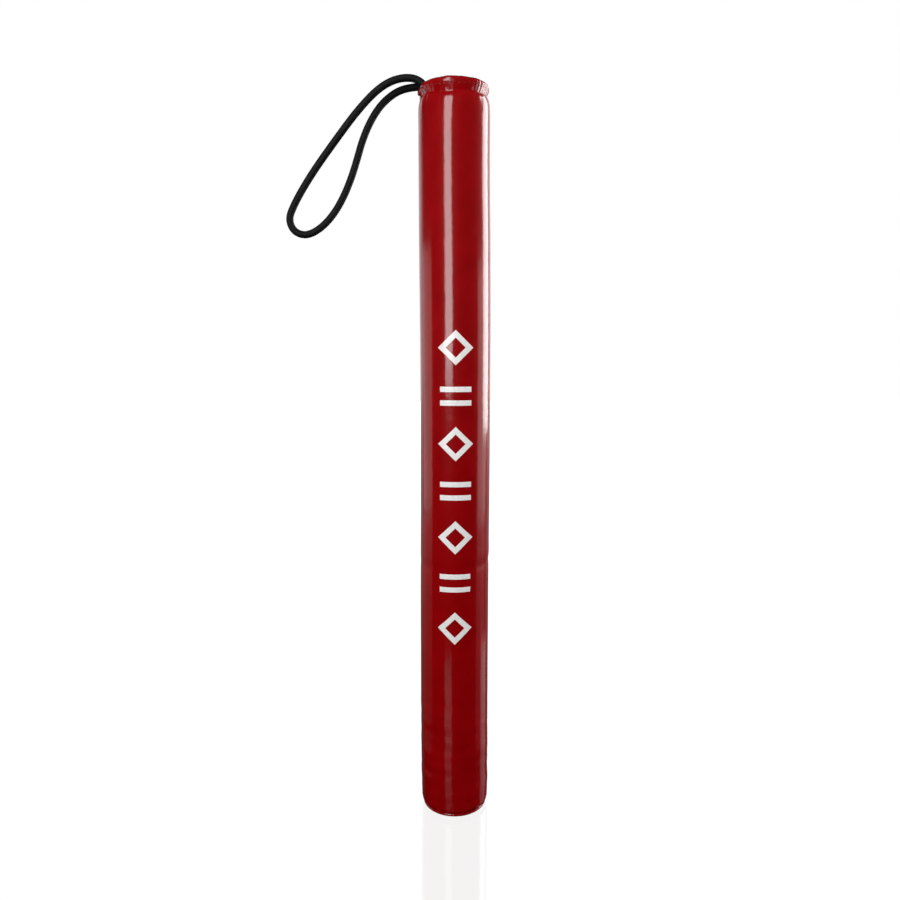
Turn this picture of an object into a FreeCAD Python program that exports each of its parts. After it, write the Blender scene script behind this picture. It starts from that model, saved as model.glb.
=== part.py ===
import FreeCAD, Part

"""Padded focus training stick: a rigid core in foam, inside a sewn leather cover with a wrist loop.

Millimetres. Origin at the middle of the bottom end, +Z up along the stick, printed front towards -Y,
wrist loop towards -X, the cover's lengthways seam at the back, towards +Y.
"""

import math
import os

from FreeCAD import Placement, Rotation, Vector

doc = FreeCAD.newDocument("focus_training_stick")

DIMENSIONS = [
    ("stick_length", 610.0),
    ("stick_radius", 29.0),
    ("leather", 1.2),
    ("neck_radius", 26.9),
    ("neck_height", 602.5),
    ("shoulder_height", 591.0),
    ("shoulder_round", 12.0),
    ("lip_height", 607.5),
    ("bottom_round", 4.0),
    ("bottom_seam_radius", 24.6),
    ("bottom_seam_depth", 9.0),
    ("core_radius", 12.5),
    ("core_bore", 10.5),
    ("core_bottom", 30.0),
    ("core_top", 578.0),
    ("plug_depth", 14.0),
    ("plug_flange", 3.0),
    ("foam_split_radius", 20.0),
    ("foam_bottom", 24.0),
    ("foam_butt", 217.0),
    ("foam_top", 590.0),
    ("tape_width", 12.0),
    ("tape_thickness", 1.2),
    ("thread", 0.8),
    ("cord_diameter", 6.0),
    ("mark_height", 0.2),
    ("mark_stroke", 4.3),
    ("mark_size", 25.0),
    ("mark_pitch", 38.8),
    ("mark_first", 403.0),
]

sheet = doc.addObject("Spreadsheet::Sheet", "dimensions")
for row, (alias, value) in enumerate(DIMENSIONS, start=1):
    sheet.set(f"A{row}", alias)
    sheet.set(f"B{row}", str(value))
    sheet.setAlias(f"B{row}", alias)
doc.recompute()
size = dict(DIMENSIONS)

RIM_STITCHES = 44
BOTTOM_STITCHES = 40
STITCH_LENGTH = 3.2
SIDE_STITCH_PITCH = 12.0
SIDE_STITCH_LENGTH = 6.0
TACK_STITCHES = 9
TACK_PITCH = 2.0
PATCH_WIDTH = 22.0

subparts = []


def finished(piece, label):
    """Gives a sub-part the name that its file takes."""
    piece.Label = label
    subparts.append(piece)
    return piece


def bind(piece, **formulas):
    """Sets properties of a piece from formulas over the sheet's aliases."""
    for name, formula in formulas.items():
        piece.setExpression(name, formula)


def on_sheet(formula):
    """A formula with each alias written as a reference to the sheet."""
    for alias in sorted(size, key=len, reverse=True):
        formula = formula.replace(alias, f"<<dimensions>>.{alias}")
    return formula


def worked_out(formula):
    """The formula's value in millimetres."""
    for alias in sorted(size, key=len, reverse=True):
        formula = formula.replace(alias, str(size[alias]))
    total = 0.0
    for term in formula.replace("- ", "+ -").split("+ "):
        factors = term.strip().split("*")
        product = float(factors[0].replace("--", ""))
        for factor in factors[1:]:
            product *= float(factor)
        total += product
    return total


def origin_plane(body, role):
    """One of the body's own origin planes or axes."""
    return next(f for f in body.Origin.OriginFeatures if f.Role == role)


def turned(label, outline, rounds=()):
    """A body turned about Z from an outline of (radius, height) formulas, with (radius, height, round) fillets."""
    body = doc.addObject("PartDesign::Body", label)
    sketch = body.newObject("Sketcher::SketchObject", f"{label}_outline")
    sketch.AttachmentSupport = [(origin_plane(body, "XZ_Plane"), "")]
    sketch.MapMode = "FlatFace"
    corners = [Vector(worked_out(r), worked_out(z), 0) for r, z in outline]
    for i, corner in enumerate(corners):
        sketch.addGeometry(Part.LineSegment(corner, corners[(i + 1) % len(corners)]), False)
    import Sketcher
    for i in range(len(corners)):
        following = (i + 1) % len(corners)
        sketch.addConstraint(Sketcher.Constraint("Coincident", i, 2, following, 1))
    for i, (radius, height) in enumerate(outline):
        for kind, formula in (("DistanceX", radius), ("DistanceY", height)):
            constraint = Sketcher.Constraint(kind, -1, 1, i, 1, worked_out(formula))
            number = sketch.addConstraint(constraint)
            if formula != "0":
                sketch.setExpression(f"Constraints[{number}]", on_sheet(formula))
    revolution = body.newObject("PartDesign::Revolution", f"{label}_turned")
    revolution.Profile = sketch
    revolution.ReferenceAxis = (sketch, ["V_Axis"])
    revolution.Angle = 360.0
    doc.recompute()
    for number, (radius, height, rounding) in enumerate(rounds):
        base = body.Tip
        edge = edge_at(base.Shape, worked_out(radius), worked_out(height))
        fillet = body.newObject("PartDesign::Fillet", f"{label}_round_{number}")
        fillet.Base = (base, [edge])
        fillet.setExpression("Radius", on_sheet(rounding))
        doc.recompute()
    return finished(body, label)


def edge_at(shape, radius, height):
    """The name of the round edge with this radius at this height."""
    for number, edge in enumerate(shape.Edges, start=1):
        curve = edge.Curve
        if not isinstance(curve, Part.Circle):
            continue
        if abs(curve.Radius - radius) < 0.01 and abs(curve.Center.z - height) < 0.01:
            return f"Edge{number}"
    raise ValueError(f"no round edge at radius {radius}, height {height}")


def tube(name, outer, inner, low, high):
    """A plain tube between two heights, from formulas."""
    solids = []
    for part_name, radius in ((f"{name}_outside", outer), (f"{name}_bore", inner)):
        cylinder = doc.addObject("Part::Cylinder", part_name)
        bind(
            cylinder,
            Radius=on_sheet(radius),
            Height=on_sheet(f"{high} - {low}"),
        )
        cylinder.setExpression("Placement.Base.z", on_sheet(low))
        solids.append(cylinder)
    cut = doc.addObject("Part::Cut", name)
    cut.Base, cut.Tool = solids
    return cut


def strip(name, outer, inner, low, high, width, side):
    """The stretch of a tube that lies within a width on one side, given as a direction in X and Y."""
    ring = tube(f"{name}_ring", outer, inner, low, high)
    block = doc.addObject("Part::Box", f"{name}_block")
    bind(block, Length=on_sheet("stick_radius + leather"), Height=on_sheet(f"{high} - {low}"))
    block.Width = width
    half = Vector(-side.y, side.x, 0) * (-width / 2)
    turn = Rotation(Vector(1, 0, 0), side)
    block.Placement = Placement(half + Vector(0, 0, worked_out(low)), turn)
    common = doc.addObject("Part::Common", name)
    common.Base, common.Tool = ring, block
    return common


def group(name, members):
    """Separate solids that share one node."""
    compound = doc.addObject("Part::Compound", name)
    compound.Links = members
    return finished(compound, name)


def thread(name, start, direction, length):
    """One straight stitch of sewing thread."""
    stitch = doc.addObject("Part::Cylinder", name)
    stitch.setExpression("Radius", on_sheet("thread * 0.5"))
    stitch.Height = length
    stitch.Placement = Placement(start, Rotation(Vector(0, 0, 1), direction))
    return stitch


def around(angle, radius, height):
    """A point at an angle about the stick's axis."""
    return Vector(radius * math.cos(angle), radius * math.sin(angle), height)


# Rigid core

finished(tube("core_tube", "core_radius", "core_bore", "core_bottom", "core_top"), "core_tube")

turned(
    "core_plug_top",
    [
        ("0", "core_top - plug_depth"),
        ("core_bore", "core_top - plug_depth"),
        ("core_bore", "core_top"),
        ("core_radius", "core_top"),
        ("core_radius", "core_top + plug_flange"),
        ("0", "core_top + plug_flange"),
    ],
)

turned(
    "core_plug_bottom",
    [
        ("0", "core_bottom - plug_flange"),
        ("core_radius", "core_bottom - plug_flange"),
        ("core_radius", "core_bottom"),
        ("core_bore", "core_bottom"),
        ("core_bore", "core_bottom + plug_depth"),
        ("0", "core_bottom + plug_depth"),
    ],
)

# Seam tape behind the lengthways seam, at the back

BACK = Vector(0, 1, 0)
TAPE = (
    "stick_radius - leather",
    "stick_radius - leather - tape_thickness",
    "foam_bottom",
    "foam_top - leather",
    size["tape_width"],
    BACK,
)
finished(strip("side_seam_tape", *TAPE), "side_seam_tape")

# Foam

finished(
    tube(
        "foam_inner",
        "foam_split_radius",
        "core_radius",
        "core_bottom - plug_flange",
        "core_top + plug_flange",
    ),
    "foam_inner",
)


def outer_foam(label, low, high):
    """A length of the outer foam tube, with a groove for the seam tape."""
    sleeve = tube(f"{label}_sleeve", "stick_radius - leather", "foam_split_radius", low, high)
    foam = doc.addObject("Part::Cut", label)
    foam.Base = sleeve
    foam.Tool = strip(f"{label}_groove", *TAPE)
    finished(foam, label)


outer_foam("foam_lower", "foam_bottom", "foam_butt")
outer_foam("foam_upper", "foam_butt", "foam_top")

turned(
    "end_pad_bottom",
    [
        ("0", "leather"),
        ("bottom_seam_radius - leather", "leather"),
        ("bottom_seam_radius - leather", "bottom_seam_depth"),
        ("stick_radius - leather", "bottom_seam_depth"),
        ("stick_radius - leather", "foam_bottom"),
        ("foam_split_radius", "foam_bottom"),
        ("foam_split_radius", "core_bottom - plug_flange"),
        ("0", "core_bottom - plug_flange"),
    ],
)

turned(
    "end_pad_top",
    [
        ("0", "core_top + plug_flange"),
        ("foam_split_radius", "core_top + plug_flange"),
        ("foam_split_radius", "foam_top"),
        ("neck_radius", "foam_top"),
        ("neck_radius - 2 * leather", "neck_height - leather"),
        ("0", "neck_height - leather"),
    ],
)

# Cover: the sleeve's lip turns up at the top, and its edge turns inside at the bottom

turned(
    "cover_sleeve",
    [
        ("bottom_seam_radius", "0"),
        ("stick_radius", "0"),
        ("stick_radius", "shoulder_height"),
        ("neck_radius", "neck_height"),
        ("stick_radius", "lip_height"),
        ("stick_radius", "stick_length"),
        ("stick_radius - leather", "stick_length"),
        ("stick_radius - leather", "lip_height"),
        ("neck_radius - leather", "neck_height"),
        ("stick_radius - leather", "shoulder_height"),
        ("stick_radius - leather", "leather"),
        ("bottom_seam_radius + leather", "leather"),
        ("bottom_seam_radius + leather", "bottom_seam_depth"),
        ("bottom_seam_radius", "bottom_seam_depth"),
    ],
    rounds=[
        ("stick_radius", "0", "bottom_round"),
        ("stick_radius - leather", "leather", "bottom_round - leather - leather"),
        ("stick_radius", "shoulder_height", "shoulder_round"),
        ("stick_radius - leather", "shoulder_height", "shoulder_round"),
    ],
)

turned(
    "cover_cap_top",
    [
        ("0", "neck_height - leather"),
        ("neck_radius - leather - leather", "neck_height - leather"),
        ("neck_radius - leather", "neck_height"),
        ("stick_radius - leather", "lip_height"),
        ("stick_radius - leather", "stick_length"),
        ("stick_radius - 2 * leather", "stick_length"),
        ("stick_radius - 2 * leather", "lip_height"),
        ("neck_radius - 2 * leather", "neck_height"),
        ("0", "neck_height"),
    ],
)

turned(
    "cover_cap_bottom",
    [
        ("0", "0"),
        ("bottom_seam_radius", "0"),
        ("bottom_seam_radius", "bottom_seam_depth"),
        ("bottom_seam_radius - leather", "bottom_seam_depth"),
        ("bottom_seam_radius - leather", "leather"),
        ("0", "leather"),
    ],
)

# Stitches

RIM_HEIGHT = (size["lip_height"] + size["stick_length"]) / 2
stitches = []
for i in range(RIM_STITCHES):
    angle = 2 * math.pi * i / RIM_STITCHES
    along = around(angle + math.pi / 2, 1, 0)
    start = around(angle, size["stick_radius"] - size["thread"] / 2, RIM_HEIGHT)
    stitches.append(thread(f"rim_stitch_{i}", start - along * (STITCH_LENGTH / 2), along, STITCH_LENGTH))
group("rim_stitches_top", stitches)

BOTTOM_STITCH_HEIGHT = 6.0
stitches = []
for i in range(BOTTOM_STITCHES):
    angle = 2 * math.pi * i / BOTTOM_STITCHES
    start = around(angle, size["bottom_seam_radius"] - STITCH_LENGTH / 2, BOTTOM_STITCH_HEIGHT)
    stitches.append(thread(f"bottom_stitch_{i}", start, around(angle, 1, 0), STITCH_LENGTH))
group("rim_stitches_bottom", stitches)

stitches = []
seam_depth = size["stick_radius"] - size["leather"] - size["tape_thickness"] / 2
seam_length = size["foam_top"] - size["leather"] - size["foam_bottom"]
for i in range(int(seam_length / SIDE_STITCH_PITCH) - 1):
    height = size["foam_bottom"] + SIDE_STITCH_PITCH * (i + 0.75)
    start = Vector(0, seam_depth, height)
    stitches.append(thread(f"side_stitch_{i}", start, Vector(0, 0, 1), SIDE_STITCH_LENGTH))
group("side_seam_stitches", stitches)

# Wrist cord. Its route starts and ends in the top cap's dish, goes over the lip and round the loop.

CORD_ROUTE = [
    (-21.5, -1.0, 603.5),
    (-22.0, -1.0, 609.5),
    (-26.5, -1.0, 614.7),
    (-33.0, -1.0, 617.8),
    (-41.0, -1.0, 617.8),
    (-50.0, -1.5, 615.2),
    (-59.5, -2.0, 609.6),
    (-69.0, -2.5, 601.2),
    (-80.5, -3.0, 588.5),
    (-92.0, -3.5, 573.8),
    (-103.0, -3.5, 559.5),
    (-114.0, -3.0, 545.0),
    (-123.5, -2.5, 531.0),
    (-131.5, -2.0, 517.5),
    (-136.0, -1.0, 507.0),
    (-132.0, 0.0, 497.2),
    (-122.0, 1.0, 494.2),
    (-110.5, 2.0, 500.2),
    (-100.0, 2.5, 511.0),
    (-91.5, 3.0, 525.0),
    (-85.0, 3.5, 540.0),
    (-80.0, 4.0, 555.0),
    (-75.5, 4.8, 570.5),
    (-69.0, 5.8, 585.5),
    (-61.0, 7.0, 598.0),
    (-52.0, 8.0, 606.4),
    (-44.0, 8.7, 611.0),
    (-35.5, 9.0, 613.0),
    (-27.5, 9.0, 613.6),
    (-21.2, 9.0, 610.2),
    (-19.8, 9.0, 603.6),
]
ROOT_END = -31.0
LOOP_START = -37.4


def on_run(a, b, x):
    """The point of the run from a to b at this X."""
    share = (x - a.x) / (b.x - a.x)
    return a + (b - a) * share


def cord(label, route):
    """A round cord along straight runs joined by the largest arcs that the runs allow."""
    edges = []
    at = route[0]
    for i in range(1, len(route) - 1):
        back = route[i - 1] - route[i]
        ahead = route[i + 1] - route[i]
        half_turn = (math.pi - back.getAngle(ahead)) / 2
        cut = 0.45 * min(back.Length, ahead.Length)
        radius = cut / math.tan(half_turn)
        print(f"{label} point {i}: arc radius {radius:.1f}")
        back.normalize()
        ahead.normalize()
        first = route[i] + back * cut
        last = route[i] + ahead * cut
        to_centre = (back + ahead).normalize()
        middle = route[i] + to_centre * (radius / math.cos(half_turn) - radius)
        edges.append(Part.LineSegment(at, first).toShape())
        edges.append(Part.Arc(first, middle, last).toShape())
        at = last
    edges.append(Part.LineSegment(at, route[-1]).toShape())
    path = Part.Wire(edges)
    section = Part.Wire(Part.makeCircle(size["cord_diameter"] / 2, route[0], route[1] - route[0]))
    solid = path.makePipeShell([section], True, False)
    expected = math.pi * (size["cord_diameter"] / 2) ** 2 * path.Length
    print(f"{label}: length {path.Length:.1f}, volume over expected {solid.Volume / expected:.4f}")
    return solid


route = [Vector(*point) for point in CORD_ROUTE]
upper_root = [*route[:3], on_run(route[2], route[3], ROOT_END)]
lower_root = [on_run(route[-4], route[-3], ROOT_END), *route[-3:]]
loop = [
    on_run(route[3], route[4], LOOP_START),
    *route[4:-4],
    on_run(route[-5], route[-4], LOOP_START),
]

root_piece = doc.addObject("Part::Feature", "cord_root")
root_piece.Shape = Part.makeCompound([cord("upper root", upper_root), cord("lower root", lower_root)])
root_piece.Placement = Placement()
finished(root_piece, "cord_root")

loop_piece = doc.addObject("Part::Feature", "wrist_cord")
loop_piece.Shape = cord("loop", loop)
loop_piece.Placement = Placement()
finished(loop_piece, "wrist_cord")

# Patch inside the lip, over the cord's ends, and the dense stitches across it

LEFT = Vector(-1, 0, 0)
PATCH_SHIFT = 4.0
patch = strip(
    "cord_anchor_patch",
    "neck_radius - 8.6",
    "neck_radius - 9.8",
    "neck_height",
    "lip_height",
    PATCH_WIDTH,
    Vector(LEFT.x, PATCH_SHIFT / 20, 0).normalize(),
)
finished(patch, "cord_anchor_patch")

TACK_HEIGHT = 605.0
TACK_INNER = 17.0
TACK_LENGTH = 9.6
stitches = []
for i in range(TACK_STITCHES):
    offset = PATCH_SHIFT + (i - (TACK_STITCHES - 1) / 2) * TACK_PITCH
    start = Vector(-TACK_INNER, offset, TACK_HEIGHT)
    stitches.append(thread(f"tack_stitch_{i}", start, LEFT, TACK_LENGTH))
group("cord_bar_tack", stitches)

# Printed marks on the front: hollow diamonds and pairs of bars, in turn

MARKS = 7
BAR_GAP = 11.0
solids = []
for i in range(MARKS):
    height = size["mark_first"] - i * size["mark_pitch"]
    if i % 2:
        for shift in (-BAR_GAP / 2, BAR_GAP / 2):
            bar = doc.addObject("Part::Box", f"mark_{i}_bar")
            bind(
                bar,
                Length=on_sheet("mark_size"),
                Width=on_sheet("stick_radius + leather"),
                Height=on_sheet("mark_stroke"),
            )
            low = height + shift - size["mark_stroke"] / 2
            corner = Vector(-size["mark_size"] / 2, -size["stick_radius"] - size["leather"], low)
            bar.Placement = Placement(corner, Rotation())
            solids.append(bar)
        continue
    tilt = Rotation(Vector(0, 1, 0), 45)
    squares = []
    for name, shrink in (("outside", 0.0), ("inside", 2 * size["mark_stroke"])):
        side = size["mark_size"] / math.sqrt(2) + size["mark_stroke"] / 2 - shrink
        square = doc.addObject("Part::Box", f"mark_{i}_{name}")
        square.Length = side
        square.Height = side
        square.setExpression("Width", on_sheet("stick_radius + leather"))
        corner = Vector(-side / 2, -size["stick_radius"] - size["leather"], -side / 2)
        square.Placement = Placement(Vector(0, 0, height), tilt) * Placement(corner, Rotation())
        squares.append(square)
    diamond = doc.addObject("Part::Cut", f"mark_{i}")
    diamond.Base, diamond.Tool = squares
    solids.append(diamond)
pattern = doc.addObject("Part::Compound", "mark_pattern")
pattern.Links = solids
skin = tube("mark_skin", "stick_radius + mark_height", "stick_radius", "foam_bottom", "foam_top")
marks = doc.addObject("Part::Common", "printed_marks")
marks.Base, marks.Tool = skin, pattern
finished(marks, "printed_marks")

# Check every object and write the files

doc.recompute()
for item in doc.Objects:
    if "Invalid" in item.State or "Error" in item.State:
        raise ValueError(f"{item.Label} failed: {item.State}")
for piece in subparts:
    if piece.Shape.isNull() or not piece.Shape.isValid():
        raise ValueError(f"{piece.Label} has no valid shape")

os.makedirs("parts", exist_ok=True)
for piece in subparts:
    piece.Shape.exportStep(f"parts/{piece.Label}.step")
    print(f"{piece.Label}: {len(piece.Shape.Solids)} solids, {piece.Shape.Volume:.0f} mm3")
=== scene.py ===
# Looks of the padded focus training stick. Metres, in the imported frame.
#
# Angles are measured about the stick's axis from +X towards +Y, so the front is at -90 degrees,
# the wrist loop at 180 and the lengthways seam at 90.

import math
import random

import bpy
from mathutils import Euler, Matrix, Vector, noise


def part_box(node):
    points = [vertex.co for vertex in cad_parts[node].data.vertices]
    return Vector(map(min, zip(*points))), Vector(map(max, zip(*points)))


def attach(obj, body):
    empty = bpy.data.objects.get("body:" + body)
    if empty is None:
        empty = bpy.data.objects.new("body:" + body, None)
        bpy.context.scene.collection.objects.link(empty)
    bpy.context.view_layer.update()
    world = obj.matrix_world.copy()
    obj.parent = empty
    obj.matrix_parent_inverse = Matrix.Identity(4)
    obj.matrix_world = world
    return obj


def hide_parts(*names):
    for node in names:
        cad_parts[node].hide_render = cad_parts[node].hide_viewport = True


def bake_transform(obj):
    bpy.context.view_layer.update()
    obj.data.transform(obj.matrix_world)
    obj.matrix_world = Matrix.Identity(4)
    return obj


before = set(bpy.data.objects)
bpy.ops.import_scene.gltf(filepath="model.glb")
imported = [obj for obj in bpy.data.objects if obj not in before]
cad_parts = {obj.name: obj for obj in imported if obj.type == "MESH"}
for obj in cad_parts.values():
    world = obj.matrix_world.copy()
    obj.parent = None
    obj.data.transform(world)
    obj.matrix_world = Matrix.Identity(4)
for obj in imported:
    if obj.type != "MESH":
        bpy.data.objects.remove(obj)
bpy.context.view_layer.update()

MM = 0.001
sleeve_low, sleeve_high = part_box("cover_sleeve")
LENGTH = sleeve_high.z
RADIUS = sleeve_high.x
BOTTOM_SEAM_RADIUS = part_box("cover_cap_bottom")[1].x
LEATHER = 1.2 * MM
NECK_HEIGHT = 602.5 * MM
LIP_HEIGHT = LENGTH - 2.5 * MM
NECK_RADIUS = RADIUS - 3.3 * MM
LIP_RADIUS = RADIUS - 0.9 * MM
SHOULDER_HEIGHT = LENGTH - 21 * MM
BEAD_HEIGHT = 2.5 * MM
BOTTOM_ROUND = 7.6 * MM
RING_HEIGHT = 0.222
FRONT_DROP = 2.7 * MM
LAYERS = 2.55 * MM

FRONT = math.radians(-90)
BACK = math.radians(90)


# Small helpers


def bell(value, width):
    """1 at 0, falling off over the width."""
    return math.exp(-((value / width) ** 2))


def ease(value, low, high):
    """0 below low, 1 above high, smooth between them."""
    share = min(1.0, max(0.0, (value - low) / (high - low)))
    return share * share * (3 - 2 * share)


def turn_between(a, b):
    """The signed angle from b to a."""
    return (a - b + math.pi) % (2 * math.pi) - math.pi


def at(angle, radius, height):
    return Vector((radius * math.cos(angle), radius * math.sin(angle), height))


def rough(point, wavelength, seed=0.0):
    """Smooth noise, about -1 to 1, with this wavelength."""
    return noise.noise(point / wavelength + Vector((seed, seed * 1.7, seed * 0.3)))


def mesh_object(name, points, faces, materials):
    mesh = bpy.data.meshes.new(name)
    mesh.from_pydata(points, [], faces)
    mesh.update()
    piece = bpy.data.objects.new(name, mesh)
    bpy.context.scene.collection.objects.link(piece)
    for material in materials:
        mesh.materials.append(material)
    mesh.shade_smooth()
    return piece


def grid_faces(rows, columns, closed=True):
    """Quads of a grid, which closes round its columns unless told otherwise."""
    faces = []
    for i in range(rows - 1):
        for j in range(columns if closed else columns - 1):
            k = (j + 1) % columns
            row, above = i * columns, (i + 1) * columns
            faces.append((row + j, row + k, above + k, above + j))
    return faces


# Materials


class Nodes:
    """Builds one material's node tree."""

    def __init__(self, name):
        self.material = bpy.data.materials.new(name)
        self.material.use_nodes = True
        self.tree = self.material.node_tree
        self.shader = self.tree.nodes["Principled BSDF"]
        self.place = self.tree.nodes.new("ShaderNodeTexCoord").outputs["Object"]

    def node(self, kind, inputs=None, **settings):
        made = self.tree.nodes.new(kind)
        for name, value in settings.items():
            setattr(made, name, value)
        for name, value in (inputs or {}).items():
            if isinstance(value, bpy.types.NodeSocket):
                self.tree.links.new(value, made.inputs[name])
            else:
                made.inputs[name].default_value = value
        return made

    def noise(self, scale, detail=3.0, roughness=0.5, place=None):
        inputs = {"Vector": place or self.place, "Scale": scale}
        inputs |= {"Detail": detail, "Roughness": roughness}
        return self.node("ShaderNodeTexNoise", inputs).outputs["Fac"]

    def cells(self, scale, feature="F1", place=None):
        inputs = {"Vector": place or self.place, "Scale": scale}
        return self.node("ShaderNodeTexVoronoi", inputs, feature=feature).outputs["Distance"]

    def ramp(self, value, *stops):
        made = self.node("ShaderNodeValToRGB", {"Fac": value})
        elements = made.color_ramp.elements
        while len(elements) < len(stops):
            elements.new(0.5)
        for element, (position, colour) in zip(elements, stops):
            element.position = position
            element.color = (*colour, 1.0) if len(colour) == 3 else colour
        return made.outputs["Color"]

    def maths(self, operation, a, b):
        return self.node("ShaderNodeMath", {0: a, 1: b}, operation=operation).outputs["Value"]

    def bump(self, height, strength, distance, normal=None):
        inputs = {"Height": height, "Strength": strength, "Distance": distance}
        if normal is not None:
            inputs["Normal"] = normal
        return self.node("ShaderNodeBump", inputs).outputs["Normal"]

    def link(self, **sockets):
        for name, value in sockets.items():
            socket = self.shader.inputs[name.replace("_", " ")]
            if isinstance(value, bpy.types.NodeSocket):
                self.tree.links.new(value, socket)
            else:
                socket.default_value = value


def leather(name, dark, light, gloss_low, gloss_high, coat):
    """Glossy synthetic leather: fine pebble grain under a clear coat, with slight mottling."""
    n = Nodes(name)
    mottle = n.noise(38.0, 4.0, 0.6)
    colour = n.ramp(mottle, (0.3, dark), (0.7, light))
    pebbles = n.cells(1300.0)
    fine = n.noise(2600.0, 2.0)
    broad = n.noise(170.0, 3.0)
    grain = n.maths("ADD", n.maths("MULTIPLY", pebbles, 0.7), n.maths("MULTIPLY", fine, 0.4))
    grain_bump = n.bump(grain, 0.34, 0.00006)
    waves = n.bump(broad, 0.28, 0.00022, grain_bump)
    scuffs = n.noise(90.0, 6.0, 0.7)
    gloss = n.ramp(scuffs, (0.35, (gloss_low,) * 3), (0.75, (gloss_high,) * 3))
    n.link(Base_Color=colour, Roughness=gloss, Normal=waves)
    n.link(Coat_Weight=coat, Coat_Roughness=0.10, Coat_IOR=1.5, Specular_IOR_Level=0.05)
    n.tree.links.new(waves, n.shader.inputs["Coat Normal"])
    return n.material


def raw_edge():
    """Cut edge of the leather: dark skin over a fibrous backing."""
    n = Nodes("raw_leather_edge")
    fibres = n.noise(1500.0, 4.0, 0.7)
    n.link(Base_Color=n.ramp(fibres, (0.3, (0.018, 0.003, 0.005)), (0.75, (0.11, 0.012, 0.018))))
    n.link(Roughness=0.85, Normal=n.bump(fibres, 0.8, 0.0002))
    return n.material


def braid():
    """Braided black cord: fibres along each strand, with a soft sheen."""
    n = Nodes("black_braid")
    fibres = n.noise(2200.0, 3.0, 0.6)
    broad = n.noise(60.0, 2.0)
    tone = n.maths("ADD", n.maths("MULTIPLY", fibres, 0.6), n.maths("MULTIPLY", broad, 0.4))
    n.link(Base_Color=n.ramp(tone, (0.3, (0.0012, 0.0012, 0.0014)), (0.75, (0.0050, 0.0050, 0.0056))))
    n.link(Roughness=n.ramp(fibres, (0.2, (0.55,) * 3), (0.8, (0.78,) * 3)))
    n.link(Normal=n.bump(fibres, 0.5, 0.0001), Sheen_Weight=0.02, Specular_IOR_Level=0.22)
    return n.material


def ink():
    """Screen print: white, a little uneven, with the leather's grain showing through."""
    n = Nodes("white_print")
    patchy = n.noise(420.0, 4.0, 0.65)
    pebbles = n.cells(1300.0)
    n.link(Base_Color=n.ramp(patchy, (0.3, (0.80, 0.79, 0.78)), (0.7, (0.93, 0.92, 0.91))))
    n.link(Roughness=n.ramp(patchy, (0.3, (0.30,) * 3), (0.7, (0.42,) * 3)))
    n.link(Normal=n.bump(pebbles, 0.25, 0.00005), Coat_Weight=0.25, Coat_Roughness=0.2)
    return n.material


def sewing_thread():
    """Bonded thread with its twist."""
    n = Nodes("sewing_thread")
    twist = n.noise(3000.0, 2.0)
    n.link(Base_Color=n.ramp(twist, (0.3, (0.17, 0.0005, 0.002)), (0.7, (0.26, 0.001, 0.003))))
    n.link(Roughness=0.5, Normal=n.bump(twist, 0.6, 0.0001), Sheen_Weight=0.2)
    return n.material


def moulded(name, dark, light, roughness, scale):
    """Plain plastic or foam with a fine surface."""
    n = Nodes(name)
    texture = n.noise(scale, 4.0, 0.6)
    n.link(Base_Color=n.ramp(texture, (0.3, dark), (0.7, light)))
    n.link(Roughness=roughness, Normal=n.bump(n.cells(scale * 2), 0.3, 0.0002))
    return n.material


def webbing():
    """Woven tape."""
    n = Nodes("woven_tape")
    waves = n.node("ShaderNodeTexWave", {"Vector": n.place, "Scale": 300.0, "Distortion": 1.0})
    n.link(Base_Color=n.ramp(waves.outputs["Fac"], (0.2, (0.01, 0.01, 0.01)), (0.8, (0.05, 0.05, 0.05))))
    n.link(Roughness=0.8, Normal=n.bump(waves.outputs["Fac"], 0.5, 0.0003))
    return n.material


RED = leather("red_leather", (0.235, 0.0001, 0.0010), (0.290, 0.0005, 0.0022), 0.32, 0.44, 0.85)
RAW = raw_edge()
BRAID = braid()
INK = ink()
THREAD = sewing_thread()


# The cord's route is the CAD tube's, a little lower where it leaves the lip, its ends a little higher

CORD_ROUTE = [
    (-0.0215, -0.001, 0.6052),
    (-0.0226, -0.001, 0.6083),
    (-0.0262, -0.001, 0.6132),
    (-0.0322, -0.001, 0.6166),
    (-0.0405, -0.001, 0.6172),
    (-0.0500, -0.0015, 0.6149),
    (-0.0595, -0.002, 0.6096),
    (-0.0690, -0.0025, 0.6012),
    (-0.0805, -0.003, 0.5885),
    (-0.0920, -0.0035, 0.5738),
    (-0.1030, -0.0035, 0.5595),
    (-0.1140, -0.003, 0.5450),
    (-0.1235, -0.0025, 0.5310),
    (-0.1315, -0.002, 0.5175),
    (-0.1360, -0.001, 0.5070),
    (-0.1320, 0.0, 0.4972),
    (-0.1220, 0.001, 0.4942),
    (-0.1105, 0.002, 0.5002),
    (-0.1000, 0.0025, 0.5110),
    (-0.0915, 0.003, 0.5250),
    (-0.0850, 0.0035, 0.5400),
    (-0.0800, 0.004, 0.5550),
    (-0.0755, 0.0048, 0.5705),
    (-0.0690, 0.0058, 0.5855),
    (-0.0610, 0.007, 0.5980),
    (-0.0520, 0.008, 0.6064),
    (-0.0440, 0.0087, 0.6110),
    (-0.0355, 0.009, 0.6130),
    (-0.0275, 0.009, 0.6136),
    (-0.0212, 0.009, 0.6102),
    (-0.0198, 0.009, 0.6052),
]
CORD_DIAMETER = 0.006
STRANDS = 8
BRAID_PITCH = 0.0135
BRAID_RELIEF = 0.00032
CORD_STEP = 0.00034
CORD_SIDES = 56


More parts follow.
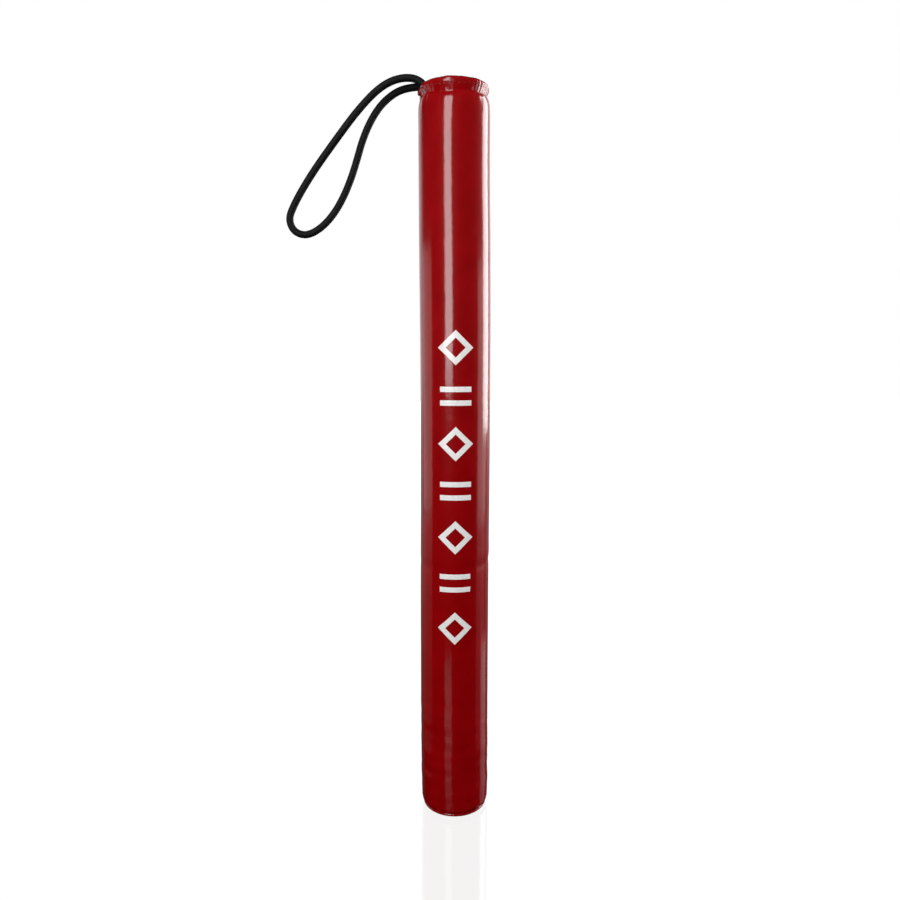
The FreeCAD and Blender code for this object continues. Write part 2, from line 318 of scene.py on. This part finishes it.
def read_spline(points):
    """Close points along a smooth curve with these control points."""
    curve = bpy.data.curves.new("route", "CURVE")
    curve.dimensions = "3D"
    curve.resolution_u = 24
    spline = curve.splines.new("NURBS")
    spline.points.add(len(points) - 1)
    for control, point in zip(spline.points, points):
        control.co = (*point, 1.0)
    spline.order_u = 3
    spline.use_endpoint_u = True
    holder = bpy.data.objects.new("route", curve)
    bpy.context.scene.collection.objects.link(holder)
    bpy.context.view_layer.update()
    mesh = bpy.data.meshes.new_from_object(holder)
    line = [v.co.copy() for v in mesh.vertices]
    bpy.data.objects.remove(holder)
    bpy.data.meshes.remove(mesh)
    return line


def evenly(line, step):
    """Points a step apart along a line, and its length."""
    lengths = [0.0]
    for a, b in zip(line, line[1:]):
        lengths.append(lengths[-1] + (b - a).length)
    count = max(2, round(lengths[-1] / step))
    points, k = [], 0
    for i in range(count + 1):
        wanted = lengths[-1] * i / count
        while k < len(line) - 2 and lengths[k + 1] < wanted:
            k += 1
        share = (wanted - lengths[k]) / max(lengths[k + 1] - lengths[k], 1e-12)
        points.append(line[k].lerp(line[k + 1], share))
    return points, lengths[-1]


def frames_along(points):
    """Two crosswise directions at each point, without twist."""
    side = Vector((0, 1, 0))
    frames = []
    for i in range(len(points)):
        ahead = points[min(i + 1, len(points) - 1)] - points[max(i - 1, 0)]
        ahead.normalize()
        side = (side - ahead * side.dot(ahead)).normalized()
        frames.append((side, ahead.cross(side)))
    return frames


def braid_height(turn, along):
    """How far the braid stands out, 0 to 1, at a share of a turn round the cord, this far along."""
    best = 0.0
    climb = along / BRAID_PITCH * STRANDS
    p = turn * STRANDS + climb
    q = turn * STRANDS - climb
    for own, other, sign in ((p, q, 1.0), (q, p, -1.0)):
        strand = math.floor(own)
        across = 2 * (own - strand) - 1
        ridge = math.sqrt(max(0.0, 1 - across * across * 0.92))
        crossing = 0.58 + 0.42 * sign * math.cos(math.pi * (other - 0.5 + strand))
        best = max(best, ridge * crossing)
    return best


def make_cord():
    line, length = evenly(read_spline(CORD_ROUTE), CORD_STEP)
    frames = frames_along(line)
    points = []
    for i, (centre, (side, other)) in enumerate(zip(line, frames)):
        along = length * i / (len(line) - 1)
        for j in range(CORD_SIDES):
            turn = j / CORD_SIDES
            height = braid_height(turn, along)
            radius = CORD_DIAMETER / 2 - BRAID_RELIEF * (1 - height)
            angle = 2 * math.pi * turn
            points.append(centre + (side * math.cos(angle) + other * math.sin(angle)) * radius)
    faces = grid_faces(len(line), CORD_SIDES)
    first = len(points)
    points.append(line[0])
    points.append(line[-1])
    last_ring = (len(line) - 1) * CORD_SIDES
    for j in range(CORD_SIDES):
        k = (j + 1) % CORD_SIDES
        faces.append((first, k, j))
        faces.append((first + 1, last_ring + j, last_ring + k))
    piece = mesh_object("wrist_loop_cord", points, faces, [BRAID])
    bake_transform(piece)
    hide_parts("wrist_cord", "cord_root")
    return piece


# The cover's surface

PUCKERS = []
generator = random.Random(23)
angle = 0.0
while angle < 2 * math.pi - 0.1:
    PUCKERS.append(
        (
            angle,
            generator.uniform(0.35, 1.0),
            generator.uniform(0.045, 0.085),
            generator.uniform(5.0, 17.0) * MM,
        )
    )
    angle += generator.uniform(0.13, 0.30)
CORD_PUCKERS = [
    (math.radians(188), 1.9, 0.085, 26 * MM),
    (math.radians(160), 1.5, 0.075, 20 * MM),
]
CRIMPS = [math.radians(-52 + 7.0 * i) for i in range(6)]
BOTTOM_PUCKERS = [
    (2 * math.pi * i / 34 + generator.uniform(-0.05, 0.05), generator.uniform(0.3, 1.0))
    for i in range(34)
]


def front_share(angle):
    """1 at the front, where the lip is taller, 0 from the sides to the back."""
    return max(0.0, math.cos(turn_between(angle, FRONT))) ** 1.4


def cord_dip(angle):
    """How much the cords press the lip down."""
    total = 0.0
    for centre in (math.radians(181), math.radians(160)):
        total = max(total, bell(turn_between(angle, centre), 0.17))
    return total


def lip_lift(angle, height):
    """Moves the neck down at the front, presses the lip under the cords and makes its edge wavy."""
    if height < SHOULDER_HEIGHT - 12 * MM:
        return 0.0
    above = ease(height, SHOULDER_HEIGHT - 12 * MM, NECK_HEIGHT)
    above *= 1 - ease(height, NECK_HEIGHT, LENGTH - 1 * MM)
    drop = FRONT_DROP * front_share(angle) + 0.8 * MM * (0.5 + 0.5 * math.sin(3 * angle + 1.0))
    edge = ease(height, NECK_HEIGHT, LIP_HEIGHT)
    wave = 0.35 * MM * noise.noise(Vector((math.cos(angle) * 3.1, math.sin(angle) * 3.1, 4.0)))
    wave += 0.16 * MM * noise.noise(Vector((math.cos(angle) * 11, math.sin(angle) * 11, 9.0)))
    press = 2.2 * MM * cord_dip(angle)
    return -drop * above + edge * (wave - press - 0.25 * MM)


def taper(height):
    """The barrel narrows a little towards the top."""
    full = 0.40 * MM * ease(height, 0.005, 0.03)
    return full - 0.40 * MM * ease(height, LENGTH - 130 * MM, LENGTH - 28 * MM)


def axis_shift(height):
    """The stuffed stick isn't quite straight."""
    lean = -0.45 * MM * ease(height, 0.42, 0.56)
    return 0.36 * MM * math.sin(math.pi * (height - 0.235) / 0.235) + lean


def relief(angle, height):
    """Everything that makes the cover more than a turned shape, as a change of radius."""
    p = at(angle, RADIUS, height)
    out = 0.16 * MM * rough(p, 0.075, 1.0) + 0.07 * MM * rough(p, 0.022, 2.0)
    out += 0.020 * MM * rough(p, 0.006, 3.0)
    # the foam's butt joint shows as a shallow ring
    ring = RING_HEIGHT + 0.0018 * math.sin(angle + 0.6)
    depth = 0.14 + 0.24 * max(0.0, math.cos(turn_between(angle, math.radians(-8))))
    out -= depth * MM * bell(height - ring, 0.0038)
    out += 0.4 * depth * MM * bell(height - ring - 0.009, 0.006)
    # slack in the cover above the bottom end
    low = ease(height, 0.004, 0.02) * (1 - ease(height, 0.07, 0.12))
    flat = Vector((p.x * 0.45, p.y * 0.45, p.z * 2.2))
    out += low * 0.34 * MM * rough(flat, 0.018, 5.0)
    side = 0.5 + 0.5 * math.cos(turn_between(angle, math.radians(-15)))
    out += 0.34 * MM * bell(height - 0.024, 0.006) * (0.35 + 0.65 * side)
    out -= 0.42 * MM * bell(height - 0.035, 0.007) * (0.3 + 0.7 * side)
    # gathers at the bottom seam
    if height < 0.016:
        for centre, strength in BOTTOM_PUCKERS:
            gap = turn_between(angle, centre)
            if abs(gap) < 0.16:
                out -= 0.17 * MM * strength * bell(gap, 0.050) * (1 - ease(height, 0.005, 0.013))
    # the lengthways seam at the back: a closed line between two soft edges
    gap = turn_between(angle, BACK) * RADIUS
    if abs(gap) < 0.012 and height < NECK_HEIGHT:
        out += 0.22 * MM * bell(gap, 0.0048) - 0.62 * MM * bell(gap, 0.00055)
        pull = 0.5 + 0.5 * math.cos(2 * math.pi * height / 0.006)
        out -= 0.05 * MM * pull * bell(gap, 0.0022)
    # gathers at the neck
    if height > SHOULDER_HEIGHT - 16 * MM:
        drop = FRONT_DROP * front_share(angle) * ease(height, SHOULDER_HEIGHT, NECK_HEIGHT)
        near_neck = height - (NECK_HEIGHT - drop)
        for centre, strength, width, reach in PUCKERS + CORD_PUCKERS:
            gap = turn_between(angle, centre)
            if abs(gap) > 3 * width:
                continue
            below = bell(min(0.0, near_neck), reach)
            above = 1 - 0.72 * ease(height, NECK_HEIGHT - 1 * MM, NECK_HEIGHT + 4 * MM)
            calm = 1 - 0.8 * bell(turn_between(angle, math.radians(-58)), 1.0) if strength <= 1 else 1.0
            out -= 0.62 * MM * strength * calm * bell(gap, width) * below * above
        for centre in CRIMPS:
            gap = turn_between(angle, centre)
            if abs(gap) < 0.15:
                lift = ease(height, NECK_HEIGHT - 4 * MM, NECK_HEIGHT + 1 * MM)
                out += 0.09 * MM * bell(gap, 0.036) * lift
                out -= 0.19 * MM * bell(gap - 0.061, 0.034) * lift
        # the cords push the lip out
        out += 1.6 * MM * cord_dip(angle) * ease(height, NECK_HEIGHT - 3 * MM, NECK_HEIGHT + 0.5 * MM)
        crumple = ease(height, NECK_HEIGHT - 5 * MM, NECK_HEIGHT + 2 * MM)
        out += crumple * MM * (0.42 * rough(p, 0.0078, 7.0) + 0.20 * rough(p, 0.0036, 8.0))
    return out


def barrel_radius(height):
    """The turned shape's radius, without relief."""
    if height < BEAD_HEIGHT:
        up = 2 * height / BEAD_HEIGHT - 1
        return RADIUS - 2.6 * MM + 1.2 * MM * math.sqrt(max(0.0, 1 - up * up))
    if height < BOTTOM_ROUND:
        up = 1 - (height - BEAD_HEIGHT) / (BOTTOM_ROUND - BEAD_HEIGHT)
        return RADIUS - 2.3 * MM * (1 - math.sqrt(max(0.0, 1 - up * up)))
    if height <= SHOULDER_HEIGHT:
        return RADIUS + taper(height)
    top = RADIUS + taper(SHOULDER_HEIGHT)
    if height <= NECK_HEIGHT:
        share = (height - SHOULDER_HEIGHT) / (NECK_HEIGHT - SHOULDER_HEIGHT)
        return top - (top - NECK_RADIUS) * (1 - math.sqrt(max(0.0, 1 - share ** 2.8)))
    share = (height - NECK_HEIGHT) / (LIP_HEIGHT - NECK_HEIGHT)
    if share <= 1:
        return NECK_RADIUS + (LIP_RADIUS - NECK_RADIUS) * (0.8 * share + 0.2 * ease(share, 0, 1))
    return LIP_RADIUS - 0.8 * MM * ((height - LIP_HEIGHT) / (LENGTH - LIP_HEIGHT)) ** 1.5


def cover_point(angle, height, inward=0.0):
    """A point of the cover's outside, or a distance inside it."""
    radius = barrel_radius(height) + relief(angle, height) - inward
    point = at(angle, radius, height + lip_lift(angle, height))
    point.x += axis_shift(height)
    point.z = max(0.0, point.z)
    return point


COVER_SIDES = 288


def cover_heights():
    """Rows of the cover, close together at the ends and at the ring."""
    rows = [BEAD_HEIGHT * (1 - math.cos(math.pi * i / 12)) / 2 for i in range(12)]
    corner = BOTTOM_ROUND - BEAD_HEIGHT
    rows += [BEAD_HEIGHT + corner * (1 - math.cos(math.pi / 2 * i / 12)) for i in range(13)]
    height = BOTTOM_ROUND
    while height < SHOULDER_HEIGHT - 14 * MM:
        fine = bell(height, 0.03) + bell(height - RING_HEIGHT, 0.012) + bell(height - LENGTH, 0.05)
        height += 2.3 * MM / (1 + 1.6 * min(1.0, fine))
        rows.append(height)
    while height < LENGTH - 0.55 * MM:
        height += 0.5 * MM
        rows.append(min(height, LENGTH))
    if rows[-1] < LENGTH:
        rows.append(LENGTH)
    return rows


def make_cover():
    points, rows = [], 0
    angles = [2 * math.pi * j / COVER_SIDES for j in range(COVER_SIDES)]
    # the bottom edge turns up inside, beside the cap
    for depth in (7.0, 3.0, 0.9):
        for a in angles:
            p = at(a, BOTTOM_SEAM_RADIUS + 0.75 * MM, depth * MM)
            p.x += axis_shift(0.0)
            points.append(p)
        rows += 1
    for height in cover_heights():
        for a in angles:
            points.append(cover_point(a, height))
        rows += 1
    outside_rows = rows
    # over the raw edge and down the lip's inside
    inner_face = ((1.2, 1.5), (1.2, 3.5), (1.2, 5.5), (1.2, 7.5))
    for inward, height in ((0.35, 0.0), (0.85, 0.02), (1.15, 0.3)) + inner_face:
        for a in angles:
            points.append(cover_point(a, LENGTH - height * MM, inward * MM))
        rows += 1
    piece = mesh_object("cover", points, grid_faces(rows, COVER_SIDES), [RED, RAW])
    for polygon in piece.data.polygons:
        row = polygon.index // COVER_SIDES
        if outside_rows - 2 <= row < outside_rows + 3:
            polygon.material_index = 1
    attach(piece, "stick")
    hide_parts("cover_sleeve")
    return piece


# End caps

CAP_SIDES = 192


def make_top_cap():
    """The dished cap, its edge turned up as the lip's inner layer."""
    points, rows = [], 0
    angles = [2 * math.pi * j / CAP_SIDES for j in range(CAP_SIDES)]
    floor = NECK_HEIGHT
    edge = NECK_RADIUS - 2.6 * MM
    rings = [edge * (i + 1) / 26 for i in range(26)]
    for radius in rings:
        share = radius / edge
        for a in angles:
            p = at(a, radius, floor)
            dome = 1.3 * MM * (1 - share * share)
            crumple = (0.28 + 0.5 * share * share) * MM * rough(p, 0.009, 12.0)
            pleat = 0.35 * MM * share ** 6 * math.sin(31 * a + 2 * math.sin(3 * a))
            p.z += dome + crumple + pleat + 0.15 * MM
            p.x += axis_shift(LENGTH)
            points.append(p)
        rows += 1
    levels = (0.6, 1.5, 2.5, 3.5, 4.5, 5.5, 6.3, 6.9)
    for level in levels:
        for a in angles:
            height = NECK_HEIGHT + level * MM
            p = cover_point(a, height, LAYERS)
            p.z = max(p.z, floor + 0.4 * level * MM)
            points.append(p)
        rows += 1
    inner_rows = rows
    for inward, level in ((2.3, 7.15), (1.8, 7.2), (1.45, 7.0), (1.38, 6.0), (1.38, 4.0), (1.38, 1.5)):
        for a in angles:
            points.append(cover_point(a, NECK_HEIGHT + level * MM, inward * MM))
        rows += 1
    faces = [tuple(reversed(face)) for face in grid_faces(rows, CAP_SIDES)]
    centre = len(points)
    middle = Vector((0, 0, floor))
    middle.z += (1.45 + 0.28 * rough(middle, 0.009, 12.0)) * MM
    middle.x += axis_shift(LENGTH)
    points.append(middle)
    for j in range(CAP_SIDES):
        faces.append((centre, j, (j + 1) % CAP_SIDES))
    piece = mesh_object("cap_top", points, faces, [RED, RAW])
    for polygon in piece.data.polygons:
        row = polygon.index // CAP_SIDES
        if inner_rows - 1 <= row < inner_rows + 3 and len(polygon.vertices) == 4:
            polygon.material_index = 1
    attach(piece, "stick")
    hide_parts("cover_cap_top")
    return piece


def make_bottom_cap():
    """The flat cap: gathered a little at its seam, its edge turned up inside."""
    points, rows = [], 0
    angles = [2 * math.pi * j / CAP_SIDES for j in range(CAP_SIDES)]
    edge = BOTTOM_SEAM_RADIUS - 0.2 * MM
    for i in range(24):
        share = (i + 1) / 24
        for a in angles:
            p = at(a, edge * share, 0)
            pleat = 0.5 + 0.5 * math.sin(34 * a + 1.5 * math.sin(5 * a))
            p.z = 0.55 * MM * share ** 10 * pleat + 0.10 * MM * (0.5 + 0.5 * rough(p, 0.011, 20.0))
            points.append(p)
        rows += 1
    for level, inset in ((0.9, 0.15), (2.5, 0.4), (5.0, 0.5), (8.0, 0.5)):
        for a in angles:
            points.append(at(a, edge - inset * MM, level * MM))
        rows += 1
    faces = grid_faces(rows, CAP_SIDES)
    centre = len(points)
    middle = Vector((0, 0, 0))
    middle.z = 0.10 * MM * (0.5 + 0.5 * rough(middle, 0.011, 20.0))
    points.append(middle)
    for j in range(CAP_SIDES):
        faces.append((centre, (j + 1) % CAP_SIDES, j))
    piece = mesh_object("cap_bottom", points, faces, [RED])
    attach(piece, "stick")
    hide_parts("cover_cap_bottom")
    return piece


# Sewing thread

THREAD_RADIUS = 0.36 * MM
THREAD_SIDES = 8
PATCH_RADIUS = 17.6 * MM


def thread_tube(points, faces, line, radius=THREAD_RADIUS):
    """Adds a round thread along a line, with closed ends."""
    frames = frames_along(line)
    first = len(points)
    for i, (centre, (side, other)) in enumerate(zip(line, frames)):
        thin = 0.55 if i in (0, len(line) - 1) else 1.0
        for j in range(THREAD_SIDES):
            angle = 2 * math.pi * j / THREAD_SIDES
            points.append(centre + (side * math.cos(angle) + other * math.sin(angle)) * radius * thin)
    for face in grid_faces(len(line), THREAD_SIDES):
        faces.append(tuple(first + v for v in face))
    end = first + (len(line) - 1) * THREAD_SIDES
    faces.append(tuple(first + j for j in reversed(range(THREAD_SIDES))))
    faces.append(tuple(end + j for j in range(THREAD_SIDES)))


def make_lip_stitches():
    """A row of stitches through both layers of the lip, seen outside and inside."""
    count = 44
    points, faces = [], []
    spread = random.Random(5)
    for i in range(count):
        middle = 2 * math.pi * (i + spread.uniform(-0.08, 0.08)) / count
        height = NECK_HEIGHT + (3.9 + spread.uniform(-0.25, 0.25)) * MM
        half = math.pi / count * 0.80
        slant = spread.uniform(-0.25, 0.25) * MM
        for inward, lift in ((0.34 * MM, 0.14 * MM), (LAYERS, -0.30 * MM)):
            line = []
            for k in range(9):
                t = k / 8 * 2 - 1
                proud = (1 - t * t) * lift - math.copysign(0.75 * MM * t ** 6, lift)
                line.append(cover_point(middle + t * half, height + slant * t, inward - proud))
            thread_tube(points, faces, line)
    piece = mesh_object("lip_stitches", points, faces, [THREAD])
    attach(piece, "stick")
    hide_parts("rim_stitches_top")
    return piece


def make_bar_tack():
    """Dense zigzag of thread that holds the patch and the cord's ends."""
    low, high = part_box("cord_anchor_patch")
    points, faces = [], []
    turns = 26
    for level in (0.32, 0.70):
        line = []
        for k in range(turns * 2 + 1):
            share = k / (turns * 2)
            y = low.y + 1.2 * MM + (high.y - low.y - 2.4 * MM) * share
            z = low.z + (high.z - low.z) * level + (0.75 * MM if k % 2 else -0.75 * MM)
            line.append(patch_point(y, z, 0.35 * MM))
        thread_tube(points, faces, line, 0.24 * MM)
    piece = mesh_object("bar_tack", points, faces, [THREAD])
    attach(piece, "stick")
    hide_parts("cord_bar_tack")
    return piece


def patch_point(y, z, proud):
    """A point on the side of the anchor patch that faces the stick's axis."""
    low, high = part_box("cord_anchor_patch")
    over_cords = bell(y - 9 * MM, 4 * MM) + bell(y + 1 * MM, 4 * MM)
    bulge = 1.1 * MM * over_cords * ease(z, low.z - 3 * MM, high.z)
    x = -math.sqrt(max(1e-9, PATCH_RADIUS**2 - (y * 0.92) ** 2)) + proud + bulge * 0.3
    return Vector((x, y, z))


def make_patch():
    """Small leather patch over the cord's ends, moulded to them."""
    low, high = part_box("cord_anchor_patch")
    columns, rows = 40, 14
    points = []
    for side in (0.0, -1.0):
        for i in range(rows):
            for j in range(columns):
                u, v = j / (columns - 1) * 2 - 1, i / (rows - 1) * 2 - 1
                corner = 1 - 0.10 * (abs(u) ** 6) * (abs(v) ** 2)
                y = (low.y + high.y) / 2 + (high.y - low.y) / 2 * u * (1 - 0.04 * abs(v) ** 4)
                z = (low.z + high.z) / 2 + (high.z - low.z) / 2 * v * corner
                soft = 0.3 * MM * (abs(u) ** 8 + abs(v) ** 8)
                points.append(patch_point(y, z, side * LEATHER - (soft if side == 0 else -soft)))
    faces = grid_faces(rows, columns, closed=False)
    back = rows * columns
    faces += [tuple(back + v for v in reversed(f)) for f in grid_faces(rows, columns, closed=False)]
    rim = list(range(columns))
    rim += [i * columns + columns - 1 for i in range(1, rows)]
    rim += [(rows - 1) * columns + j for j in reversed(range(columns - 1))]
    rim += [i * columns for i in reversed(range(1, rows - 1))]
    for a, b in zip(rim, rim[1:] + rim[:1]):
        faces.append((b, a, back + a, back + b))
    piece = mesh_object("anchor_patch", points, faces, [RED])
    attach(piece, "stick")
    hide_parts("cord_anchor_patch")
    return piece


# Printed marks

MARKS = 7
MARK_SIZE = 25 * MM
MARK_STROKE = 4.3 * MM
MARK_PITCH = 38.8 * MM
MARK_FIRST = 403 * MM
BAR_GAP = 11 * MM
INK_HEIGHT = 0.07 * MM


def print_strip(points, faces, start, end, stroke, cut_start=0.0, cut_end=0.0):
    """Adds one stroke of ink on the cover, from start to end, both (across, height).

    Its ends may be slanted.
    """
    run = Vector((end[0] - start[0], end[1] - start[1]))
    length = run.length
    run.normalize()
    across = Vector((-run.y, run.x))
    steps = max(2, round(length / (0.8 * MM)))
    lanes = 6
    first = len(points)
    for i in range(steps + 1):
        for j in range(lanes + 1):
            w = j / lanes * 2 - 1
            low, high = cut_start * w, length - cut_end * w
            along = low + (high - low) * i / steps
            place = Vector(start) + run * along + across * w * stroke / 2
            edge = min(1.0, 4 * (1 - abs(w)) + 0.35) * min(1.0, 2.0 * min(i, steps - i) + 0.35)
            turn = FRONT + math.asin(max(-1.0, min(1.0, place.x / RADIUS)))
            points.append(cover_point(turn, place.y, -INK_HEIGHT * edge))
    for i in range(steps):
        for j in range(lanes):
            a = first + i * (lanes + 1) + j
            faces.append((a, a + 1, a + lanes + 2, a + lanes + 1))


def make_marks():
    """Hollow diamonds and pairs of bars, in turn."""
    points, faces = [], []
    for i in range(MARKS):
        height = MARK_FIRST - i * MARK_PITCH
        if i % 2:
            for shift in (-BAR_GAP / 2, BAR_GAP / 2):
                start = (-MARK_SIZE / 2, height + shift)
                print_strip(points, faces, start, (MARK_SIZE / 2, height + shift), MARK_STROKE)
            continue
        reach = (MARK_SIZE / math.sqrt(2) - MARK_STROKE / 2) / math.sqrt(2)
        corners = [(reach, height), (0, height + reach), (-reach, height), (0, height - reach)]
        for k in range(4):
            half = MARK_STROKE / 2
            print_strip(points, faces, corners[k], corners[(k + 1) % 4], MARK_STROKE, half, half)
    piece = mesh_object("printed_pattern", points, faces, [INK])
    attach(piece, "stick")
    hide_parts("printed_marks")
    return piece


# Hidden CAD pieces keep their shapes and get their own materials


def finish_hidden():
    core = moulded("core_plastic", (0.70, 0.70, 0.68), (0.80, 0.80, 0.78), 0.45, 180.0)
    plug = moulded("plug_plastic", (0.05, 0.05, 0.05), (0.09, 0.09, 0.09), 0.5, 300.0)
    firm = moulded("firm_foam", (0.09, 0.09, 0.10), (0.15, 0.15, 0.16), 0.9, 700.0)
    soft = moulded("soft_foam", (0.70, 0.68, 0.62), (0.82, 0.81, 0.76), 0.95, 500.0)
    tape = webbing()
    finishes = {
        "core_tube": core,
        "core_plug_top": plug,
        "core_plug_bottom": plug,
        "foam_inner": firm,
        "foam_lower": soft,
        "foam_upper": soft,
        "end_pad_top": soft,
        "end_pad_bottom": soft,
        "side_seam_tape": tape,
        "rim_stitches_bottom": THREAD,
        "side_seam_stitches": THREAD,
    }
    for node, material in finishes.items():
        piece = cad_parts[node]
        piece.data.materials.clear()
        piece.data.materials.append(material)


# Studio


def make_stage():
    """A floor that is pale to the camera, with a faint mirror, and dark to the stick."""
    mesh = bpy.data.meshes.new("floor")
    half = 6.0
    corners = [(-half, -half, 0), (half, -half, 0), (half, half, 0), (-half, half, 0)]
    mesh.from_pydata(corners, [], [(0, 1, 2, 3)])
    floor = bpy.data.objects.new("floor", mesh)
    bpy.context.scene.collection.objects.link(floor)
    floor.location.z = -0.0002
    n = Nodes("pale_floor")
    path = n.node("ShaderNodeLightPath")
    mirror = n.maths("MULTIPLY", path.outputs["Is Camera Ray"], 0.095)
    n.link(Base_Color=n.maths("ADD", mirror, 0.02), Roughness=0.06, Metallic=1.0)
    n.link(Emission_Color=(1, 1, 1, 1))
    n.link(Emission_Strength=n.maths("MULTIPLY", path.outputs["Is Camera Ray"], 0.885))
    mesh.materials.append(n.material)


def softbox(name, azimuth, distance, height, width, tall, power):
    """A soft light at an angle from the front, positive to the right, facing the stick."""
    light = bpy.data.lights.new(name, "AREA")
    light.shape = "RECTANGLE"
    light.size = width
    light.size_y = tall
    light.energy = power
    lamp = bpy.data.objects.new(name, light)
    bpy.context.scene.collection.objects.link(lamp)
    turn = math.radians(azimuth)
    lamp.location = (math.sin(turn) * distance, -math.cos(turn) * distance, height)
    aim = Vector((0, 0, height)) - lamp.location
    lamp.rotation_euler = aim.to_track_quat("-Z", "Y").to_euler()
    return lamp


def make_lights():
    """Strips and fills, in a world that is white to the camera and bright behind the stick."""
    softbox("front_left_strip", -21, 1.15, 0.98, 0.46, 1.3, 15)
    softbox("right_strip", 116, 1.0, 0.76, 0.54, 1.05, 14)
    softbox("right_fill", 98, 1.2, 0.18, 0.9, 0.9, 3.6)
    softbox("left_fill", -104, 1.3, 0.16, 1.1, 1.0, 3.4)
    world = bpy.data.worlds.new("studio")
    bpy.context.scene.world = world
    world.use_nodes = True
    tree = world.node_tree
    shown = tree.nodes["Background"]
    shown.inputs["Color"].default_value = (1, 1, 1, 1)
    shown.inputs["Strength"].default_value = 1.0
    seen = tree.nodes.new("ShaderNodeBackground")
    place = tree.nodes.new("ShaderNodeTexCoord")
    split = tree.nodes.new("ShaderNodeSeparateXYZ")
    backdrop = tree.nodes.new("ShaderNodeValToRGB")
    backdrop.color_ramp.elements[0].position = 0.48
    backdrop.color_ramp.elements[0].color = (0.02, 0.02, 0.021, 1)
    backdrop.color_ramp.elements[1].position = 0.70
    backdrop.color_ramp.elements[1].color = (0.95, 0.95, 0.96, 1)
    tree.links.new(place.outputs["Generated"], split.inputs["Vector"])
    tree.links.new(split.outputs["Y"], backdrop.inputs["Fac"])
    tree.links.new(backdrop.outputs["Color"], seen.inputs["Color"])
    seen.inputs["Strength"].default_value = 1.0
    tent = tree.nodes.new("ShaderNodeBackground")
    tent.inputs["Color"].default_value = (1, 1, 1, 1)
    tent.inputs["Strength"].default_value = 0.46
    path = tree.nodes.new("ShaderNodeLightPath")
    soft = tree.nodes.new("ShaderNodeMixShader")
    tree.links.new(path.outputs["Is Diffuse Ray"], soft.inputs["Fac"])
    tree.links.new(seen.outputs["Background"], soft.inputs[1])
    tree.links.new(tent.outputs["Background"], soft.inputs[2])
    mix = tree.nodes.new("ShaderNodeMixShader")
    tree.links.new(path.outputs["Is Camera Ray"], mix.inputs["Fac"])
    tree.links.new(soft.outputs["Shader"], mix.inputs[1])
    tree.links.new(shown.outputs["Background"], mix.inputs[2])
    tree.links.new(mix.outputs["Shader"], tree.nodes["World Output"].inputs["Surface"])
    bpy.context.scene.view_settings.view_transform = "Standard"


def make_camera():
    camera = bpy.data.cameras.new("camera")
    camera.lens = 30.15
    camera.sensor_width = 36.0
    eye = bpy.data.objects.new("camera", camera)
    bpy.context.scene.collection.objects.link(eye)
    eye.location = (-0.0073, -0.636, 0.3965)
    tilt_down = 0.1243
    turn_right = 0.005
    eye.rotation_euler = Euler((math.pi / 2 - tilt_down, 0, -turn_right), "XYZ")
    bpy.context.scene.camera = eye


make_camera()
make_cord()
make_cover()
make_top_cap()
make_bottom_cap()
make_lip_stitches()
make_patch()
make_bar_tack()
make_marks()
finish_hidden()
make_stage()
make_lights()
